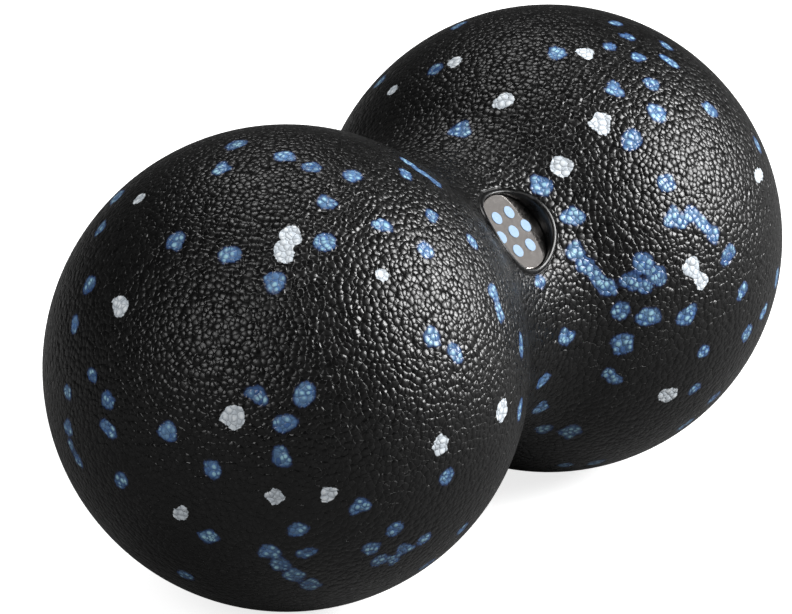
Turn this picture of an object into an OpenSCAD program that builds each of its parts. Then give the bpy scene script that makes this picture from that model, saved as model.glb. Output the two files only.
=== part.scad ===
// Peanut massage ball: two balls of bead foam joined by a waist, moulded in one
// from black beads with some blue and white ones, and a round badge in a seat on
// the waist. Millimetres. The origin is the middle of the waist, +X runs along the
// axis to the far ball and +Z is up.

/* [Balls] */
// Diameter of each ball
ball_d = 120; // [90:1:160]
// Distance between the centres of the two balls
centre_gap = 120; // [90:1:150]
// Radius of the hollow that blends one ball into the other
blend_r = 33; // [20:1:60]

/* [Badge and its seat] */
// Angle of the badge above the horizontal, on the front of the waist
badge_turn = 40.5; // [0:0.5:90]
// Diameter of the badge
badge_d = 21.4; // [16:0.2:24]
// Thickness of the badge
badge_t = 2; // [1:0.1:3]
// Radius of the rounded edge of the badge's face
badge_round = 0.4; // [0.1:0.1:0.8]
// Depth of the badge's face below the waist
badge_sink = 1.5; // [1.2:0.1:4]
// Gap all round between the badge and the wall of its seat
seat_gap = 0.1; // [0.05:0.05:0.3]
// Width of the smooth lip round the mouth of the seat
lip_w = 1.3; // [0.8:0.1:2.5]
// Height of the lip above the foam
lip_h = 0.4; // [0.2:0.1:1]

/* [Dots printed on the badge] */
// Number of dots in the ring, round one in the middle
dot_count = 6; // [4:1:8]
// Diameter of each dot
dot_d = 3.4; // [2:0.1:4]
// Radius of the ring of dots
dot_ring_r = 5.6; // [4.8:0.1:8]
// Thickness of the print
dot_t = 0.12; // [0.05:0.01:0.3]

/* [Coloured beads] */
// Depth that a coloured bead reaches into the foam
bead_depth = 2; // [1:0.5:3]
// Smallest width of a scattered bead
bead_min = 3.2; // [2:0.1:4]
// Largest width of a scattered bead
bead_max = 4.8; // [4:0.1:6]
// Number of beads scattered over a whole ball
bead_count = 110; // [40:1:140]
// Number of beads scattered round the whole waist
waist_count = 24; // [8:1:40]
// One scattered bead in so many is white, and the rest are blue
white_every = 6; // [2:1:10]
// Seed of the scatter
bead_seed = 7; // [1:1:99]

/* [Hidden] */
$fn = 240;

ball_r = ball_d / 2;
half_gap = centre_gap / 2;
// The blend's circle is centred over the middle of the waist and touches both balls
reach = ball_r + blend_r;
blend_h = sqrt(reach * reach - half_gap * half_gap);
seam_gap = half_gap * blend_r / reach;
waist_r = blend_h - blend_r;
badge_face = waist_r - badge_sink;
seat_r = badge_d / 2 + seat_gap;
// How far the tools that cut the beads stand out of the foam
proud = 2;
golden_turn = 137.508;
// Largest chance shift of a scattered bead, as a share of the ball's radius, and how far
// along the waist beads are scattered, in per cent of the way to either ball
scatter_chance = 0.06;
waist_spread = 75;

// Half of the outline, with the axis upright. It grows outwards by grow, and is
// cut at the circles where the blend meets the balls.
module half_outline(grow = 0) {
    r = ball_r + grow;
    seam_y = half_gap * (1 - r / reach);
    seam_x = r * blend_h / reach;
    for (side = [-1, 1]) scale([1, side]) intersection() {
        translate([0, half_gap]) circle(r);
        translate([0, seam_y]) square([r, half_gap + r - seam_y]);
    }
    difference() {
        translate([0, -seam_y]) square([seam_x, 2 * seam_y]);
        translate([blend_h, 0]) circle(blend_r - grow);
    }
}

module peanut(grow = 0) {
    rotate([0, 90, 0]) rotate_extrude() half_outline(grow);
}

// Puts children on the badge's axis, with +Z pointing out of the seat
module on_badge_axis() {
    rotate([90 - badge_turn, 0, 0]) children();
}

// The beads on the front were laid by eye. The front is what shows along this line of
// sight, which is turned about the upright axis and tipped down.
sight_az = -56.6;
sight_el = 19;
sight_right = [cos(sight_az), sin(sight_az), 0];
sight_back = [sin(sight_az) * cos(sight_el), -cos(sight_az) * cos(sight_el), sin(sight_el)];
sight_up = cross(sight_back, sight_right);

// Beads on the front of a ball, as [right, up, width]: right and up are from the middle
// of the ball's outline, in per cent of its radius, and the width is in millimetres
near_blue = [
    [-20, 91, 5], [-25.5, 81, 4.5], [-69, 70, 5.5], [-75, 57, 4], [-43.5, 51.5, 4.8],
    [-21.5, 46, 4.8], [-79, 34, 4.6], [-85, 18, 3.8], [-3.5, 35, 5], [0, 86, 4.8],
    [11, 81.5, 4.2], [27.5, 78, 4.5], [17, 67, 4.3], [49, 79, 4], [50, 84, 4],
    [55.5, 80, 4], [61, 76, 4], [39.5, 58, 4.2], [59.5, 62, 4], [16.5, 51, 5],
    [57, 48, 4.5], [76, 51.5, 4], [59.5, 13, 4.6], [69, 6.5, 4.6], [84.5, 31, 4.4],
    [87, 23, 4.4], [96, 9.5, 4.4], [-77.5, -2.5, 3.4], [-88, -9.5, 3.6], [-71, -12.5, 4.2],
    [-71, -24, 4.4], [-88, -24, 4.2], [-87, -31, 3], [-84, -37, 3.6], [-66, -45, 4.2],
    [-46.5, -25, 4.6], [-28.5, -40, 4.4], [-10.5, -10, 4.5], [0.5, -21.5, 4.8],
    [-1, -35, 4.6], [-30.5, -67.5, 4.6], [-40.5, -84, 4.2], [-6, -73.5, 4.8],
    [-1.5, -79, 4.8], [4, -83.5, 5], [10.5, -87.5, 5], [8.5, -10, 5.2], [9, -74, 4],
    [5.5, -64.5, 4.4], [30.5, -55, 4.6], [44.5, -64.5, 4.4], [56.5, -69, 3.9],
    [72, -65.5, 3.6], [58, -80, 4.4], [35, -72.5, 4.4], [38.5, -77.5, 4.4],
    [44, -77.5, 3.6], [48.5, -73, 4.4], [95.5, -17, 4.6], [65.5, -43.5, 4.2]
];
near_white = [
    [-59, 69, 3.5], [-66, 25.5, 4.8], [3, 54, 4.8], [0, 47, 5], [39.5, 38, 3.2],
    [-20, -19, 5.4], [-3.5, -51, 4], [-41.5, -58, 4], [18, -50, 3.9], [88, -17, 5.2],
    [63, -30.5, 4.6]
];
far_blue = [
    [-38.5, 90.5, 4.4], [-48.5, 71, 4], [-72, 66.5, 4.2], [2.5, 77.5, 4.6],
    [25, 80.5, 3.5], [28, 91, 3.6], [33, 85, 3.8], [37, 76, 3.8], [49.5, 81.5, 3.8],
    [50.5, 74.5, 4.2], [42.5, 64.5, 4.2], [26.5, 62, 4.4], [44.5, 52, 5], [67.5, 54, 4.6],
    [33.5, 40.5, 5.4], [48, 22.5, 4.8], [51.5, 7.5, 5.4], [58.5, 9.5, 4.2], [63.5, 5.5, 4],
    [68, 1, 4.2], [88.5, 39.5, 4], [74.5, -7.5, 4.8], [81, -22.5, 4], [97, -17, 4.6],
    [91, -31.5, 4.2], [83.5, -40.5, 4.8], [38, -11, 5.2], [33, -18.5, 4.6], [39, -21, 3.6],
    [44.5, -16.5, 4.6], [28.5, -31, 4.4], [40.5, -33.5, 5.4], [57, -33, 5.2],
    [30, -45, 5.2], [25.5, -58.5, 4.2], [61, -64, 3.6], [64.5, -48, 3.8], [70, -68, 4.2],
    [58, -79.5, 4.6], [20, -95.5, 4.4], [7, -96.5, 4], [8.5, -82, 5]
];
far_white = [
    [-40.5, 74, 3.8], [-66.5, 62.5, 3.2], [-20, 57, 4.6], [14.5, 77.5, 4.2],
    [20.5, 47.5, 5.4], [3.5, 29, 4.6], [88.5, 26.5, 4.2], [58.5, -12.5, 4.8],
    [63, -18.5, 4], [49.5, -66.5, 5]
];
// Blue beads on the front of the waist, as [along, turn, width]: along is from the
// middle of the waist, in per cent of the way to the far ball, and turn is the angle
// above the horizontal
waist_blue = [
    [68, 50, 5], [77.5, 35, 5], [63.5, 24, 4.4], [70.5, 18, 4.2], [80, 12.5, 4],
    [90.5, 8.5, 4], [-2.5, 18.5, 3.6], [35, -6, 4.6], [11.5, -23, 4.4], [42.5, -39.5, 4.6],
    [80, -52.5, 4.2], [70.5, 87, 5]
];

// A spot is where a bead lies, as [place, outward direction, width, number]
function laid_way(bead) =
    let (right = bead[0] / 100, up = bead[1] / 100)
    right * sight_right + up * sight_up + sqrt(1 - right * right - up * up) * sight_back;
function ball_spot(side, way, width, number) =
    [[side * half_gap, 0, 0] + ball_r * way, way, width, number];
function waist_spot(along, turn, width, number) =
    let (x = along / 100 * seam_gap, drop = sqrt(blend_r * blend_r - x * x), r = blend_h - drop)
    [[x, -r * cos(turn), r * sin(turn)],
     [-x, -drop * cos(turn), drop * sin(turn)] / blend_r, width, number];
function laid_on_ball(side, list) = [
    for (i = [0:len(list) - 1]) ball_spot(side, laid_way(list[i]), list[i][2], i)
];
function laid_on_waist(list) = [
    for (i = [0:len(list) - 1]) waist_spot(list[i][0], list[i][1], list[i][2], i)
];

// A place is out of sight if it faces away, or if the near ball stands before it
near_middle = [-half_gap, 0, 0];
function out_of_sight(spot) =
    spot[1] * sight_back < 0 ||
    (spot[0][0] > -seam_gap && norm(cross(spot[0] - near_middle, sight_back)) < ball_r - bead_max);

// Beads that are out of sight are scattered: a spiral of equal steps over each ball, and
// one round the waist, each with a little chance in it
jitter = rands(-scatter_chance, scatter_chance, 3 * bead_count, bead_seed);
widths = rands(bead_min, bead_max, bead_count, bead_seed + 1);
waist_along = rands(-waist_spread, waist_spread, waist_count, bead_seed + 2);
function scatter_way(i) =
    let (
        x = 1 - (2 * i + 1) / bead_count,
        r = sqrt(1 - x * x),
        turn = i * golden_turn,
        way = [x, r * cos(turn), r * sin(turn)] + [jitter[3 * i], jitter[3 * i + 1], jitter[3 * i + 2]]
    )
    way / norm(way);
function scattered_on_ball(side) = [
    for (i = [0:bead_count - 1])
        let (spot = ball_spot(side, scatter_way(i), widths[i], i))
        if (side * spot[0][0] > seam_gap + bead_max && out_of_sight(spot)) spot
];
function scattered_on_waist() = [
    for (i = [0:waist_count - 1])
        let (spot = waist_spot(waist_along[i], i * golden_turn, widths[i], i))
        if (out_of_sight(spot)) spot
];

scattered = concat(scattered_on_ball(-1), scattered_on_ball(1), scattered_on_waist());
blue_spots = concat(
    laid_on_ball(-1, near_blue), laid_on_ball(1, far_blue), laid_on_waist(waist_blue),
    [for (s = scattered) if (s[3] % white_every != 0) s]
);
white_spots = concat(
    laid_on_ball(-1, near_white), laid_on_ball(1, far_white),
    [for (s = scattered) if (s[3] % white_every == 0) s]
);

module bead_prism(spot) {
    way = spot[1];
    translate(spot[0]) rotate([0, acos(way[2]), atan2(way[1], way[0])])
        translate([0, 0, -bead_depth]) rotate(spot[3] * golden_turn)
            cylinder(d = spot[2], h = bead_depth + proud, $fn = 5 + spot[3] % 3);
}

// The moulding: both balls, the waist, the lip and the seat
module foam_body() {
    color([0.1, 0.1, 0.11]) difference() {
        union() {
            peanut();
            intersection() {
                peanut(lip_h);
                on_badge_axis() cylinder(r = seat_r + lip_w, h = ball_r);
            }
        }
        on_badge_axis() translate([0, 0, badge_face - badge_t]) cylinder(r = seat_r, h = ball_r);
        for (s = concat(blue_spots, white_spots)) bead_prism(s);
    }
}

module beads(spots) {
    intersection() {
        peanut();
        for (s = spots) bead_prism(s);
    }
}

module blue_beads() {
    color([0.3, 0.47, 0.71]) beads(blue_spots);
}

module white_beads() {
    color([0.86, 0.88, 0.9]) beads(white_spots);
}

// The badge: a thin disc that fills the bottom of the seat
module badge() {
    straight_t = badge_t - badge_round;
    flat_r = badge_d / 2 - badge_round;
    color([0.05, 0.05, 0.06]) on_badge_axis() translate([0, 0, badge_face - badge_t])
        rotate_extrude() {
            square([badge_d / 2, straight_t]);
            square([flat_r, badge_t]);
            intersection() {
                translate([flat_r, straight_t]) circle(badge_round);
                translate([flat_r, straight_t]) square(badge_round);
            }
        }
}

module badge_dots() {
    color([0.75, 0.84, 0.93]) on_badge_axis() translate([0, 0, badge_face]) {
        cylinder(d = dot_d, h = dot_t);
        for (i = [0:dot_count - 1]) rotate(i * 360 / dot_count)
            translate([dot_ring_r, 0, 0]) cylinder(d = dot_d, h = dot_t);
    }
}

foam_body();
blue_beads();
white_beads();
badge();
badge_dots();
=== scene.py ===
# %% [markdown]
# # A peanut massage ball in moulded bead foam
# The object is two balls joined by a waist, moulded in one from black foam beads with a
# few blue and white ones among them. A glossy round badge sits in a seat on the waist.
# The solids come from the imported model, and this lesson adds what they leave out: the
# pebbled skin of the foam, ragged coloured beads, a rounded lip and a badge that shines.

# %% Load the frame
import math

import bmesh
import bpy
import numpy as np
from mathutils import Matrix, Vector


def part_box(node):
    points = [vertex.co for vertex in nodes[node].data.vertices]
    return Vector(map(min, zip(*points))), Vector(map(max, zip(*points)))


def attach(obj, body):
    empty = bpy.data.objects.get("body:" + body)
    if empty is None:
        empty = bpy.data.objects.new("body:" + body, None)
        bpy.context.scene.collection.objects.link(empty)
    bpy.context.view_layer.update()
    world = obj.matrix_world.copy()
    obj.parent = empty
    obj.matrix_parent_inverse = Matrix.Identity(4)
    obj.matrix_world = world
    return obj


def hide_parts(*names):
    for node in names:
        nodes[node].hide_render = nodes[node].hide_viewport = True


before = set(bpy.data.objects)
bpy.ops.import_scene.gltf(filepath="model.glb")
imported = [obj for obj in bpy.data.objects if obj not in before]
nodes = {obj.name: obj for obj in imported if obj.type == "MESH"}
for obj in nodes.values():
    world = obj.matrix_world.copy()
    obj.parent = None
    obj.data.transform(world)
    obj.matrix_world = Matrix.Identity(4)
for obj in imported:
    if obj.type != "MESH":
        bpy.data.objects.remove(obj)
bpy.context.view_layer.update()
MM = 0.001
print("nodes:", sorted(nodes))

# %% [markdown]
# ## Sizes
# Lengths are read from the frame where it can give them, so that this model always fits
# the solids. The foam runs from pole to pole along X, and its height is one ball's
# diameter. The hollow of the waist is an arc that touches both balls, so its middle and
# the seams where the arcs meet follow from its radius. The frame can't tell that radius,
# the badge's thickness or the width of the lip, and they are written here.

# %% Sizes of the moulding
foam_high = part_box("foam_body")[1]
ball_r = round(foam_high.z, 3)
half_gap = round(foam_high.x, 3) - ball_r
blend_r = 33 * MM
reach = ball_r + blend_r
blend_h = math.sqrt(reach**2 - half_gap**2)
seam_x = half_gap * blend_r / reach
seam_angle = math.acos((half_gap - seam_x) / ball_r)
print("ball radius %.1f mm, waist radius %.1f mm" % (ball_r / MM, (blend_h - blend_r) / MM))

# %% [markdown]
# The badge's middle gives the direction in which its seat is sunk. The seat is a little
# wider than the badge, and the lip is a smooth ring round the seat's mouth.

# %% Sizes of the badge and its seat
badge_low, badge_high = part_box("badge")
badge_middle = (badge_low + badge_high) / 2
seat_axis = badge_middle.normalized()
seat_side = seat_axis.cross(Vector((1, 0, 0)))
badge_t = 2 * MM
badge_face = badge_middle.length + badge_t / 2
seat_gap = 0.1 * MM
seat_r = (badge_high.x - badge_low.x) / 2 + seat_gap
lip_w = 1.3 * MM
lip_h = 0.4 * MM
lip_r = seat_r + lip_w
print("seat radius %.2f mm, lip radius %.2f mm" % (seat_r / MM, lip_r / MM))

# %% [markdown]
# ## Camera
# The photograph was taken with a long lens from a little above, so both balls look
# nearly round. A turn about the upright axis and a tilt give the line of sight. The
# camera stands far off along it, and a small step sideways frames the object as the
# photograph does. The step moves the camera without turning it, so no lens shift is
# needed.

# %% Line of sight
sight_az = math.radians(-56.6)
sight_el = math.radians(19.0)
sight_right = Vector((math.cos(sight_az), math.sin(sight_az), 0))
sight_back = Vector(
    (
        math.sin(sight_az) * math.cos(sight_el),
        -math.cos(sight_az) * math.cos(sight_el),
        math.sin(sight_el),
    )
)
sight_up = sight_back.cross(sight_right)
sight_turn = Matrix((sight_right, sight_up, sight_back)).transposed()
print("back along the line of sight:", [round(value, 3) for value in sight_back])

# %% Camera
camera_distance = 2.28
camera_lens = 412.5
camera_step_right = -6.03 * MM
camera_step_up = -1.31 * MM

camera_data = bpy.data.cameras.new("camera")
camera_data.lens = camera_lens
camera_data.sensor_width = 36
camera_data.clip_start = 0.1
camera_data.clip_end = 20
camera = bpy.data.objects.new("camera", camera_data)
camera.matrix_world = Matrix.Translation(
    sight_back * camera_distance + sight_right * camera_step_right + sight_up * camera_step_up
) @ sight_turn.to_4x4()
bpy.context.scene.collection.objects.link(camera)
bpy.context.scene.camera = camera
bpy.context.scene.view_settings.view_transform = "Standard"
print("camera at", [round(value, 3) for value in camera.matrix_world.translation])


# %% [markdown]
# ## Node helpers
# Materials are built from nodes in code. A few short helpers keep that readable: one adds
# a node, sets its inputs by name or number and joins the sockets that it is given, and
# the others use it for the nodes that come up most: sums, smooth ramps and mixes of
# colour. The last two start a material and a node group.

# %% Node helpers
def add_node(tree, kind, settings=None, **inputs):
    """A new node. An input is named, or numbered as _0, and takes a value or a socket."""
    node = tree.nodes.new(kind)
    for name, value in (settings or {}).items():
        setattr(node, name, value)
    for name, value in inputs.items():
        key = int(name[1:]) if name[1:].isdigit() else name.replace("_", " ")
        if isinstance(value, bpy.types.NodeSocket):
            tree.links.new(value, node.inputs[key])
        else:
            node.inputs[key].default_value = value
    return node


def math_node(tree, operation, a, b=0.0, c=0.0):
    settings = {"operation": operation}
    return add_node(tree, "ShaderNodeMath", settings, _0=a, _1=b, _2=c).outputs[0]


def ramp_node(tree, value, low, high, to_low=0.0, to_high=1.0):
    settings = {"interpolation_type": "SMOOTHSTEP"}
    names = {"From_Min": low, "From_Max": high, "To_Min": to_low, "To_Max": to_high}
    return add_node(tree, "ShaderNodeMapRange", settings, Value=value, **names).outputs[0]


def mix_colour(tree, factor, a, b, blend="MIX"):
    settings = {"data_type": "RGBA", "blend_type": blend}
    return add_node(tree, "ShaderNodeMix", settings, _0=factor, _6=a, _7=b).outputs[2]


# %% Helpers that start a material and a group
def new_material(name):
    material = bpy.data.materials.new(name)
    material.use_nodes = True
    material.node_tree.nodes.clear()
    return material, material.node_tree


def new_group(name, inputs, outputs):
    """A group of numbers: inputs is {label: default}, and outputs is a list of labels."""
    tree = bpy.data.node_groups.new(name, "ShaderNodeTree")
    for label, default in inputs.items():
        socket = tree.interface.new_socket(
            label, in_out="INPUT", socket_type="NodeSocketFloat"
        )
        socket.default_value = default
    for label in outputs:
        tree.interface.new_socket(label, in_out="OUTPUT", socket_type="NodeSocketFloat")
    return tree, tree.nodes.new("NodeGroupInput"), tree.nodes.new("NodeGroupOutput")


def object_place_in_mm(tree):
    """Object coordinates in millimetres, so a pattern's Scale counts cells in 1 mm."""
    place = add_node(tree, "ShaderNodeTexCoord").outputs["Object"]
    settings = {"operation": "SCALE"}
    return add_node(tree, "ShaderNodeVectorMath", settings, _0=place, Scale=1 / MM).outputs[0]


# %% [markdown]
# ## Floor, world and lamps
# A pale sheet of paper carries the object and keeps its soft shadow. Lit paper would be
# grey in places, so it also glows a little, but only towards the camera. That is what
# the Light Path node tells: whether a ray comes straight from the camera. Other rays
# meet a darker paper, which keeps the foam's underside black.

# %% Floor
floor_z = -ball_r
floor_half = 3.0
floor_mesh = bpy.data.meshes.new("floor")
floor_bm = bmesh.new()
bmesh.ops.create_grid(floor_bm, x_segments=1, y_segments=1, size=floor_half)
bmesh.ops.translate(floor_bm, verts=floor_bm.verts, vec=(0, 0, floor_z))
floor_bm.to_mesh(floor_mesh)
floor_bm.free()
floor = bpy.data.objects.new("floor", floor_mesh)
bpy.context.scene.collection.objects.link(floor)
print("floor at %.1f mm" % (floor_z / MM))

# %% Paper of the floor
plain_white = (1, 1, 1, 1)
paper_grey = (0.18, 0.18, 0.18, 1)
paper_white = (0.8, 0.8, 0.8, 1)
paper_glow = 0.78

floor_mat, tree = new_material("floor_paper")
to_camera = add_node(tree, "ShaderNodeLightPath").outputs["Is Camera Ray"]
paper_colour = mix_colour(tree, to_camera, paper_grey, paper_white)
paper = add_node(tree, "ShaderNodeBsdfDiffuse", Color=paper_colour)
glow_strength = math_node(tree, "MULTIPLY", to_camera, paper_glow)
glow = add_node(tree, "ShaderNodeEmission", Color=plain_white, Strength=glow_strength)
lit_paper = add_node(tree, "ShaderNodeAddShader", _0=paper.outputs[0], _1=glow.outputs[0])
add_node(tree, "ShaderNodeOutputMaterial", Surface=lit_paper.outputs[0])
floor_mesh.materials.append(floor_mat)
print("floor material:", len(tree.nodes), "nodes")

# %% [markdown]
# The world works in the same way. To the camera it is plain white, as the ground behind
# the object is in the photograph. It lights the foam gently, and mirrored rays find it
# nearly dark: a bright room, mirrored in every crease, would hide the grain under a grey
# veil.

# %% World
lit_strength = 0.35
mirrored_strength = 0.05

world = bpy.data.worlds.new("studio")
world.use_nodes = True
bpy.context.scene.world = world
tree = world.node_tree
tree.nodes.clear()
path = add_node(tree, "ShaderNodeLightPath")
change = mirrored_strength - lit_strength
dim = math_node(tree, "MULTIPLY_ADD", path.outputs["Is Glossy Ray"], change, lit_strength)
world_strength = math_node(tree, "MAXIMUM", path.outputs["Is Camera Ray"], dim)
sky = add_node(tree, "ShaderNodeBackground", Color=plain_white, Strength=world_strength)
add_node(tree, "ShaderNodeOutputWorld", Surface=sky.outputs[0])
print("world strength: lit %.2f, mirrored %.2f" % (lit_strength, mirrored_strength))


# %% [markdown]
# Four soft square lamps stand round the object. The strong one on the right gives each
# ball its broad shine, a weaker one fills the front left, one above lights the shoulders,
# and a large dim panel is there to be mirrored in the badge. They are placed as the
# camera sees them, so a shine can be moved by reading its place in the photograph.

# %% Lamps
def add_lamp(name, toward, distance, side, power):
    """A soft square lamp. toward is (right, up, back) as the camera sees it."""
    data = bpy.data.lights.new(name, "AREA")
    data.shape = "SQUARE"
    data.size = side
    data.energy = power
    lamp = bpy.data.objects.new(name, data)
    way = (sight_turn @ Vector(toward)).normalized()
    turn = way.to_track_quat("Z", "Y")
    lamp.matrix_world = Matrix.Translation(way * distance) @ turn.to_matrix().to_4x4()
    bpy.context.scene.collection.objects.link(lamp)
    print("lamp", name, "%.1f W" % power)


add_lamp("key_right", toward=(0.88, 0.44, 0.12), distance=1.2, side=0.6, power=23)
add_lamp("fill_front_left", toward=(-0.47, 0.27, 0.84), distance=1.4, side=0.6, power=5.5)
add_lamp("top", toward=(-0.1, 1.0, -0.1), distance=1.4, side=0.5, power=4.5)
add_lamp("badge_panel", toward=(0.77, 0.58, -0.26), distance=1.6, side=1.0, power=1.3)

# %% [markdown]
# ## The grain of the mould
# A mould for bead foam has a pebbled face, and it prints a close grain of rounded
# pebbles about 1.5 mm wide over the whole skin. Modelling tens of thousands of pebbles
# would drown the mesh, so the grain is bump. A Voronoi pattern gives it. The distance to the
# nearest cell point, squared, makes domes, and some pebbles are steeper than others. The
# distance to the cell's edge cuts the creases between them. The pattern reads Object
# coordinates, so it has no seam anywhere, and a slow noise bends its rows.

# %% Group: cells of the mould grain
drift_scale = 0.6
grain_tree, grain_in, grain_out = new_group(
    "mould_grain", {"Cell": 1.0, "Wander": 0.3}, ["Height", "Crease", "Tone"]
)
place_mm = object_place_in_mm(grain_tree)
drift = add_node(
    grain_tree, "ShaderNodeTexNoise", Vector=place_mm, Scale=drift_scale, Detail=1.0
)
shift = add_node(
    grain_tree,
    "ShaderNodeVectorMath",
    {"operation": "SCALE"},
    _0=drift.outputs["Color"],
    Scale=grain_in.outputs["Wander"],
)
bent = add_node(
    grain_tree, "ShaderNodeVectorMath", {"operation": "ADD"}, _0=place_mm, _1=shift.outputs[0]
).outputs[0]
per_mm = math_node(grain_tree, "DIVIDE", 1.0, grain_in.outputs["Cell"])
cells = add_node(grain_tree, "ShaderNodeTexVoronoi", Vector=bent, Scale=per_mm)
settings = {"feature": "DISTANCE_TO_EDGE"}
edges = add_node(grain_tree, "ShaderNodeTexVoronoi", settings, Vector=bent, Scale=per_mm)
print("cells and their edges:", len(grain_tree.nodes), "nodes")

# %% Group: height, crease and tone of each pebble
dome_power = 2.0
least_steep, steep_spread = 0.7, 0.6
crease_w = 0.14
crease_drop = 0.06

pebble = add_node(grain_tree, "ShaderNodeSeparateColor", _0=cells.outputs["Color"])
pebble_tone, pebble_steep = pebble.outputs[0], pebble.outputs[1]
fall = math_node(grain_tree, "POWER", cells.outputs["Distance"], dome_power)
steepness = math_node(grain_tree, "MULTIPLY_ADD", pebble_steep, steep_spread, least_steep)
slope = math_node(grain_tree, "MULTIPLY", fall, steepness)
crease = ramp_node(grain_tree, edges.outputs["Distance"], 0.0, crease_w)
dome = math_node(grain_tree, "SUBTRACT", 1.0, slope)
grain_height = math_node(grain_tree, "MULTIPLY_ADD", crease, crease_drop, dome)
grain_tree.links.new(grain_height, grain_out.inputs["Height"])
grain_tree.links.new(crease, grain_out.inputs["Crease"])
grain_tree.links.new(pebble_tone, grain_out.inputs["Tone"])
print("mould grain:", len(grain_tree.nodes), "nodes")


# %% [markdown]
# ## Coloured beads
# The coloured beads are part of the skin: the same grain runs over them, and only the
# colour changes. So they aren't separate scraps laid on the foam. Each point of the
# skin's mesh stores how far it lies inside the nearest bead, in millimetres, and the
# material turns that distance into a colour with a ragged edge. Where the beads lie is
# measured on the frame's own bead solids, so both models always agree.

# %% Where the frame's beads lie
same_place = 0.001 * MM


def outward(point):
    """The direction out of the skin at a point near it."""
    if abs(point.x) >= seam_x:
        return (point - Vector((math.copysign(half_gap, point.x), 0, 0))).normalized()
    spoke = Vector((0, point.y, point.z)).normalized()
    return (spoke * blend_h - point).normalized()


def bead_spots(name):
    """(middle, outward direction, radius) of each loose solid of a bead node."""
    bm = bmesh.new()
    bm.from_mesh(nodes[name].data)
    bmesh.ops.remove_doubles(bm, verts=bm.verts, dist=same_place)
    left = set(bm.verts)
    spots = []
    while left:
        island = set()
        fresh = [left.pop()]
        while fresh:
            vert = fresh.pop()
            island.add(vert)
            for edge in vert.link_edges:
                other = edge.other_vert(vert)
                if other in left:
                    left.remove(other)
                    fresh.append(other)
        points = [vert.co.copy() for vert in island]
        middle = sum(points, Vector()) / len(points)
        way = outward(middle)
        radius = max((p - middle - way * (p - middle).dot(way)).length for p in points)
        spots.append((middle, way, radius))
    bm.free()
    return sorted(spots, key=lambda spot: tuple(spot[0]))


blue_spots = bead_spots("blue_beads")
white_spots = bead_spots("white_beads")
print("blue beads:", len(blue_spots), "white beads:", len(white_spots))

# %% [markdown]
# ## The skin as one closed mesh
# The moulding is one smooth skin. Two spheres and a tube, joined by a boolean, would
# leave creases where they meet. A lathe would turn this shape in one, so the mesh is spun
# too. One vertex at the near pole is swept round the near ball, the waist's hollow and
# the far ball, which draws the outline. Then the outline is spun once round X, and its
# ends close at the poles.

# %% Draw the outline
outline_step = 1.25 * MM


def sweep(bm, vert, centre, angle):
    """Sweep one vertex round a centre in the plane of the outline, and return its end."""
    steps = round((vert.co - centre).length * abs(angle) / outline_step)
    result = bmesh.ops.spin(
        bm, geom=[vert], cent=centre, axis=(0, 1, 0), angle=angle, steps=steps, dvec=(0, 0, 0)
    )
    return next(item for item in result["geom_last"] if isinstance(item, bmesh.types.BMVert))


skin = bmesh.new()
tip = skin.verts.new((-half_gap - ball_r, 0, 0))
ball_sweep = math.pi - seam_angle
hollow_sweep = 2 * math.asin(seam_x / blend_r)
tip = sweep(skin, tip, Vector((-half_gap, 0, 0)), ball_sweep)
tip = sweep(skin, tip, Vector((0, 0, blend_h)), -hollow_sweep)
tip = sweep(skin, tip, Vector((half_gap, 0, 0)), ball_sweep)
print("outline ends at", [round(value / MM, 3) for value in tip.co])

# %% Spin the peanut
turn_steps = 300
pole_weld = 0.002 * MM

bmesh.ops.spin(
    skin,
    geom=skin.edges[:] + skin.verts[:],
    cent=(0, 0, 0),
    axis=(1, 0, 0),
    angle=2 * math.pi,
    steps=turn_steps,
    dvec=(0, 0, 0),
    use_merge=True,
)
bmesh.ops.remove_doubles(skin, verts=skin.verts, dist=pole_weld)
print("spun faces:", len(skin.faces), "open edges:", sum(e.is_boundary for e in skin.edges))


# %% [markdown]
# ## The seat and its lip
# The badge lies in a round seat, and a smooth raised lip frames it. A boolean would cut
# the seat, but leave a ragged ring of thin faces. Instead the faces over the seat are
# taken away, the hole's edge is drawn into a true circle about the badge's axis, and
# that loop is extruded ring by ring: over the lip, down the wall and across the floor.
# Each ring follows the saddle of the waist, so the lip keeps its height.

# %% Places round the badge's axis
def about_seat(point):
    """(radius, angle) of a point about the badge's axis, or None behind the waist."""
    if point.dot(seat_axis) < 0:
        return None
    across = point.dot(seat_side)
    return math.hypot(point.x, across), math.atan2(across, point.x)


def waist_height(radius, angle):
    """Height of the skin above the object's axis, along the badge's axis."""
    x = radius * math.cos(angle)
    across = radius * math.sin(angle)
    waist = blend_h - math.sqrt(blend_r**2 - x**2)
    return math.sqrt(waist**2 - across**2)


def seat_place(radius, angle, height):
    flat = Vector((1, 0, 0)) * math.cos(angle) + seat_side * math.sin(angle)
    return flat * radius + seat_axis * height


print("skin above the axis at the lip: %.2f mm" % (waist_height(lip_r, 0) / MM))

# %% Open the hole and round it
groove_w = 0.35 * MM
rim_weld = 0.25 * MM

groove_r = lip_r + groove_w
hole = []
for face in skin.faces:
    spots = [about_seat(vert.co) for vert in face.verts]
    if any(spot and spot[0] < groove_r for spot in spots):
        hole.append(face)
bmesh.ops.delete(skin, geom=hole, context="FACES")
rim = [vert for vert in skin.verts if vert.is_boundary]
for vert in rim:
    angle = about_seat(vert.co)[1]
    vert.co = seat_place(groove_r, angle, waist_height(groove_r, angle))
bmesh.ops.remove_doubles(skin, verts=rim, dist=rim_weld)
rim_edges = [edge for edge in skin.edges if edge.is_boundary]
print("edges round the seat:", len(rim_edges))

# %% [markdown]
# The lip's section is a short list of rings from the outside in, each a radius and a
# height above the waist. A shallow groove comes first, then the round of the lip, and
# the last ring starts the wall. The wall goes down behind the badge's edge, and one flat
# face under the badge closes the seat.

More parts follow.
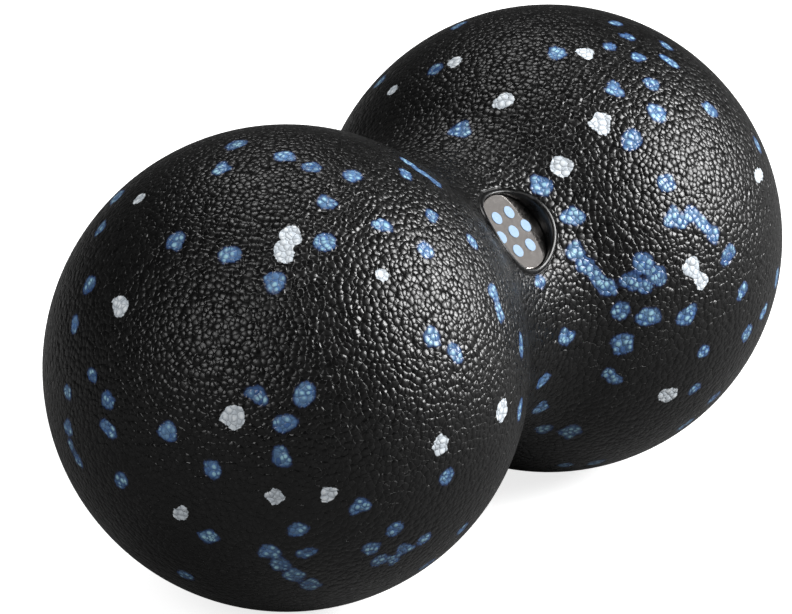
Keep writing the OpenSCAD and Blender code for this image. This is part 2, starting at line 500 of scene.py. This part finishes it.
# %% Extrude the lip, the wall and the floor
lip_rings = [
    (lip_r + 0.15 * MM, -0.12 * MM),
    (lip_r, 0.02 * MM),
    (lip_r - 0.12 * MM, 0.6 * lip_h),
    (lip_r - 0.32 * MM, 0.92 * lip_h),
    (lip_r - 0.6 * MM, lip_h),
    (seat_r + 0.4 * MM, 0.95 * lip_h),
    (seat_r + 0.15 * MM, 0.7 * lip_h),
    (seat_r, 0.2 * lip_h),
    (seat_r, -0.4 * MM),
]
wall_heights = [badge_face - badge_t / 2, badge_face - badge_t]


def extrude_ring(edges, radius, height_of):
    grown = bmesh.ops.extrude_edge_only(skin, edges=edges)["geom"]
    for vert in grown:
        if isinstance(vert, bmesh.types.BMVert):
            angle = about_seat(vert.co)[1]
            vert.co = seat_place(radius, angle, height_of(angle))
    return [edge for edge in grown if isinstance(edge, bmesh.types.BMEdge) and edge.is_boundary]


ring = rim_edges
for radius, rise in lip_rings:
    ring = extrude_ring(ring, radius, lambda angle: waist_height(radius, angle) + rise)
for height in wall_heights:
    ring = extrude_ring(ring, seat_r, lambda angle: height)
bmesh.ops.contextual_create(skin, geom=ring)
bmesh.ops.recalc_face_normals(skin, faces=skin.faces)
print("open edges after the seat:", sum(edge.is_boundary for edge in skin.edges))

# %% Make the skin an object
skin_mesh = bpy.data.meshes.new("foam_skin")
skin.to_mesh(skin_mesh)
skin.free()
skin_mesh.polygons.foreach_set("use_smooth", [True] * len(skin_mesh.polygons))
foam = bpy.data.objects.new("foam_skin", skin_mesh)
bpy.context.scene.collection.objects.link(foam)
triangles = sum(len(polygon.vertices) - 2 for polygon in skin_mesh.polygons)
print("skin triangles:", triangles)

# %% [markdown]
# ## Distances stored on the skin
# Real beads are squashed into each other in the mould, so none is a neat circle. Each
# gets its own lumpy outline: a few waves round the circle, with seeded chance in their
# size and turn. For every bead, the depth of each skin point inside that outline is
# worked out at once with numpy. A soft maximum joins the depths, so beads that touch in
# the mould run into one patch, as welded foam does.

# %% Read the skin's points
count = len(skin_mesh.vertices)
flat_points = np.empty(count * 3, np.float32)
skin_mesh.vertices.foreach_get("co", flat_points)
skin_points = flat_points.reshape(count, 3).astype(float)
print("skin points:", count)

# %% Depth of each point inside a bead
FAR_OUT = -3.0
chance = np.random.default_rng(11)
bead_swell = 1.1
bead_reach = 2.5
weld = 0.5
wave_sizes = {2: 0.13, 3: 0.08, 4: 0.05, 5: 0.04}
phase_range = 7
middle_tone = 0.5


def depth_inside(spots):
    """Depth inside the nearest bead in millimetres, and that bead's own tone."""
    nearest = np.full(count, FAR_OUT)
    welded = np.full(count, math.exp(FAR_OUT / weld))
    tone = np.full(count, middle_tone)
    for middle, way, radius in spots:
        side = way.orthogonal().normalized()
        other = way.cross(side)
        waves = [
            (n, chance.normal(0, size), chance.uniform(0, phase_range))
            for n, size in wave_sizes.items()
        ]
        bead_value = chance.uniform(0, 1)
        away = skin_points - np.array(middle)
        near = np.flatnonzero((away**2).sum(axis=1) < (radius * bead_reach) ** 2)
        u = away[near] @ np.array(side)
        v = away[near] @ np.array(other)
        turn = np.arctan2(v, u)
        outline = 1 + sum(size * np.cos(n * turn + phase) for n, size, phase in waves)
        inside = (radius * bead_swell * outline - np.hypot(u, v)) / MM
        welded[near] += np.exp(inside / weld)
        better = inside > nearest[near]
        nearest[near[better]] = inside[better]
        tone[near[better]] = bead_value
    return weld * np.log(welded), tone


blue_depth, blue_tone = depth_inside(blue_spots)
white_depth, white_tone = depth_inside(white_spots)
print("points inside blue beads:", int((blue_depth > 0).sum()))

# %% [markdown]
# A mesh attribute holds one number for each point, and a material can read it by name.
# Four are stored: the depth inside a blue and a white bead, the tone of the bead, and
# the distance outside the lip, because the grain stops at the lip's smooth ring.

# %% Store the distances
behind = 50.0


def store(name, values):
    layer = skin_mesh.attributes.new(name, "FLOAT", "POINT")
    layer.data.foreach_set("value", np.asarray(values, np.float32))


store("blue_depth", blue_depth)
store("white_depth", white_depth)
store("bead_tone", np.where(white_depth > blue_depth, white_tone, blue_tone))

along_axis = skin_points @ np.array(seat_axis)
from_axis = np.linalg.norm(skin_points - along_axis[:, None] * np.array(seat_axis), axis=1)
store("outside_lip", np.where(along_axis > 0, (from_axis - lip_r) / MM, behind))
print("stored:", [layer.name for layer in skin_mesh.attributes if layer.data_type == "FLOAT"])

# %% [markdown]
# ## Ragged edges
# A bead's colour ends where the grain lets it: whole pebbles are blue or black, and the
# line between them wanders. The group below takes the stored depth, shifts it by fine
# noise and by each pebble's own tone, and cuts it at nought. It also gives a mask for a
# rim just outside, where the material paints shade into the crease round the bead.

# %% Group: ragged bead
fray_scale = 1.3
pebble_share = 0.4
rim_shade_from, rim_shade_to = -0.45, -0.05

ragged_tree, ragged_in, ragged_out = new_group(
    "ragged_bead", {"Depth": 0.0, "Pebble": 0.5, "Rag": 0.5, "Soft": 0.08}, ["Mask", "Rim_shade"]
)
place_mm = object_place_in_mm(ragged_tree)
fray = add_node(
    ragged_tree, "ShaderNodeTexNoise", Vector=place_mm, Scale=fray_scale, Detail=2.0
)
fray_value = math_node(ragged_tree, "SUBTRACT", fray.outputs["Fac"], 0.5)
pebble_value = math_node(ragged_tree, "SUBTRACT", ragged_in.outputs["Pebble"], 0.5)
ragged = math_node(ragged_tree, "MULTIPLY_ADD", pebble_value, pebble_share, fray_value)
edge = math_node(
    ragged_tree, "MULTIPLY_ADD", ragged, ragged_in.outputs["Rag"], ragged_in.outputs["Depth"]
)
minus_soft = math_node(ragged_tree, "MULTIPLY", ragged_in.outputs["Soft"], -1.0)
mask = ramp_node(ragged_tree, edge, minus_soft, ragged_in.outputs["Soft"])
# Painted shade: a mask for the crease just outside the bead, where the colour darkens.
rim_shade_mask = ramp_node(ragged_tree, edge, rim_shade_from, rim_shade_to)
ragged_tree.links.new(mask, ragged_out.inputs["Mask"])
ragged_tree.links.new(rim_shade_mask, ragged_out.inputs["Rim_shade"])
print("ragged bead:", len(ragged_tree.nodes), "nodes")

# %% [markdown]
# ## Foam material
# One material carries all three colours of bead, since one mould made them into one
# skin. Each colour is written twice, low in the grain and on top of a pebble, and the
# grain's height mixes the two, with some of each pebble's random tone, so each pebble
# top carries a painted highlight. A blue bead darkens near its edge and just outside it,
# as painted shade in the crease round it.

# %% Colours of the foam
# The colours for a pebble top are painted highlight mixed with random tone, and the darkest
# blues are painted shade at a bead's edge and in the crease outside it.
black_low, black_tone_and_highlight = (0.001, 0.001, 0.0011, 1), (0.007, 0.007, 0.007, 1)
blue_deep, blue_pale = (0.03, 0.085, 0.24, 1), (0.07, 0.16, 0.37, 1)
blue_tone_and_highlight = (0.38, 0.65, 0.75, 1)
blue_edge_shade = (0.02, 0.05, 0.15, 1)
blue_rim_shade = (0.006, 0.01, 0.035, 1)
white_low, white_tone_and_highlight = (0.6, 0.66, 0.72, 1), (0.93, 0.97, 1.0, 1)
painted_highlight_from, painted_highlight_to = 0.85, 1.05
tone_share, painted_highlight_share = 0.25, 0.75
edge_shade_from, edge_shade_to = -0.1, 0.8
crease_light, crease_gain = 0.75, 0.25

foam_mat, tree = new_material("bead_foam")


def stored(name):
    return add_node(tree, "ShaderNodeAttribute", {"attribute_name": name}).outputs["Fac"]


def place_group(group_tree, **inputs):
    return add_node(tree, "ShaderNodeGroup", {"node_tree": group_tree}, **inputs)


grain = place_group(grain_tree, Cell=1.5, Wander=0.6)
height, crease, tone = (grain.outputs[name] for name in ("Height", "Crease", "Tone"))
blue = place_group(ragged_tree, Depth=stored("blue_depth"), Pebble=tone, Rag=0.8)
white = place_group(ragged_tree, Depth=stored("white_depth"), Pebble=tone, Rag=0.8)

# Painted highlight: the grain's height makes each pebble's top paler, added to its random tone.
painted_top_highlight = ramp_node(tree, height, painted_highlight_from, painted_highlight_to, 0.0, painted_highlight_share)
tone_and_painted_highlight = math_node(tree, "MULTIPLY_ADD", tone, tone_share, painted_top_highlight)
black_colour = mix_colour(tree, tone_and_painted_highlight, black_low, black_tone_and_highlight)
blue_low = mix_colour(tree, stored("bead_tone"), blue_deep, blue_pale)
blue_with_painted_highlight = mix_colour(tree, tone_and_painted_highlight, blue_low, blue_tone_and_highlight)
# Painted shade: a blue bead darkens towards its edge, next to the crease round it.
clear_of_edge_shade = ramp_node(tree, stored("blue_depth"), edge_shade_from, edge_shade_to)
blue_colour = mix_colour(tree, clear_of_edge_shade, blue_edge_shade, blue_with_painted_highlight)
white_colour = mix_colour(tree, tone_and_painted_highlight, white_low, white_tone_and_highlight)
# Painted shade: a dark blue rim in the crease just outside a blue bead.
with_rim_shade = mix_colour(tree, blue.outputs["Rim_shade"], black_colour, blue_rim_shade)
with_blue = mix_colour(tree, blue.outputs["Mask"], with_rim_shade, blue_colour)
with_white = mix_colour(tree, white.outputs["Mask"], with_blue, white_colour)
crease_shade = math_node(tree, "MULTIPLY_ADD", crease, crease_gain, crease_light)
skin_colour = mix_colour(tree, 1.0, with_white, crease_shade, blend="MULTIPLY")
print("foam colours:", len(tree.nodes), "nodes")

# %% [markdown]
# Foam moulded against metal has a satin skin, so each pebble shows a soft glint of the
# lamps. The roughness is the same in a crease as on its pebble, and differs only a little
# from pebble to pebble, because a rough crease would catch some of every lamp and turn
# grey. The bump fades out towards the lip, which a plug in the mould leaves smooth.

# %% Finish of the foam
grain_h = 0.4 * MM
lip_fade = 0.5
foam_rough, rough_spread = 0.25, 0.12

smooth_lip = ramp_node(tree, stored("outside_lip"), 0.0, lip_fade)
bump_height = math_node(tree, "MULTIPLY", height, smooth_lip)
bump = add_node(tree, "ShaderNodeBump", Height=bump_height, Distance=grain_h, Strength=1.0)
foam_roughness = math_node(tree, "MULTIPLY_ADD", tone, rough_spread, foam_rough)
foam_shader = add_node(
    tree,
    "ShaderNodeBsdfPrincipled",
    Base_Color=skin_colour,
    Roughness=foam_roughness,
    Normal=bump.outputs["Normal"],
    Specular_IOR_Level=0.5,
)
add_node(tree, "ShaderNodeOutputMaterial", Surface=foam_shader.outputs[0])
skin_mesh.materials.append(foam_mat)

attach(foam, "root")
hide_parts("foam_body", "blue_beads", "white_beads")
print("foam material:", len(tree.nodes), "nodes")

# %% [markdown]
# ## Badge
# The badge is a thin disc, and its grey metallic face mirrors the room with a slight
# haze. The frame's own disc has the right shape, and keeps it: only its material is made
# here. The print on it is seven plain dots in the beads' blue. The grain group serves
# again at a small scale, for the haze of the face and for the wear of the print.

# %% Face of the badge
badge_grey = (0.5, 0.47, 0.45, 1)
haze_low, haze_high = 0.1, 0.14

badge_mat, tree = new_material("badge_gloss")
haze = place_group(grain_tree, Cell=0.6, Wander=0.5)
badge_roughness = ramp_node(tree, haze.outputs["Tone"], 0.0, 1.0, haze_low, haze_high)
badge_shader = add_node(
    tree,
    "ShaderNodeBsdfPrincipled",
    Base_Color=badge_grey,
    Metallic=1.0,
    Roughness=badge_roughness,
)
add_node(tree, "ShaderNodeOutputMaterial", Surface=badge_shader.outputs[0])
print("badge material:", len(tree.nodes), "nodes")

# %% Print on the badge
worn_blue, fresh_blue = (0.25, 0.38, 0.55, 1), (0.3, 0.44, 0.62, 1)

dots_mat, tree = new_material("badge_print")
wear = place_group(grain_tree, Cell=0.5, Wander=0.5)
dots_colour = mix_colour(tree, wear.outputs["Tone"], worn_blue, fresh_blue)
dots_shader = add_node(
    tree, "ShaderNodeBsdfPrincipled", Base_Color=dots_colour, Roughness=0.3
)
add_node(tree, "ShaderNodeOutputMaterial", Surface=dots_shader.outputs[0])

for name, material in (("badge", badge_mat), ("badge_dots", dots_mat)):
    mesh = nodes[name].data
    for slot in nodes[name].material_slots:
        slot.material = material
    mesh.polygons.foreach_set("use_smooth", [False] * len(mesh.polygons))
    print(name, "triangles:", len(mesh.polygons))
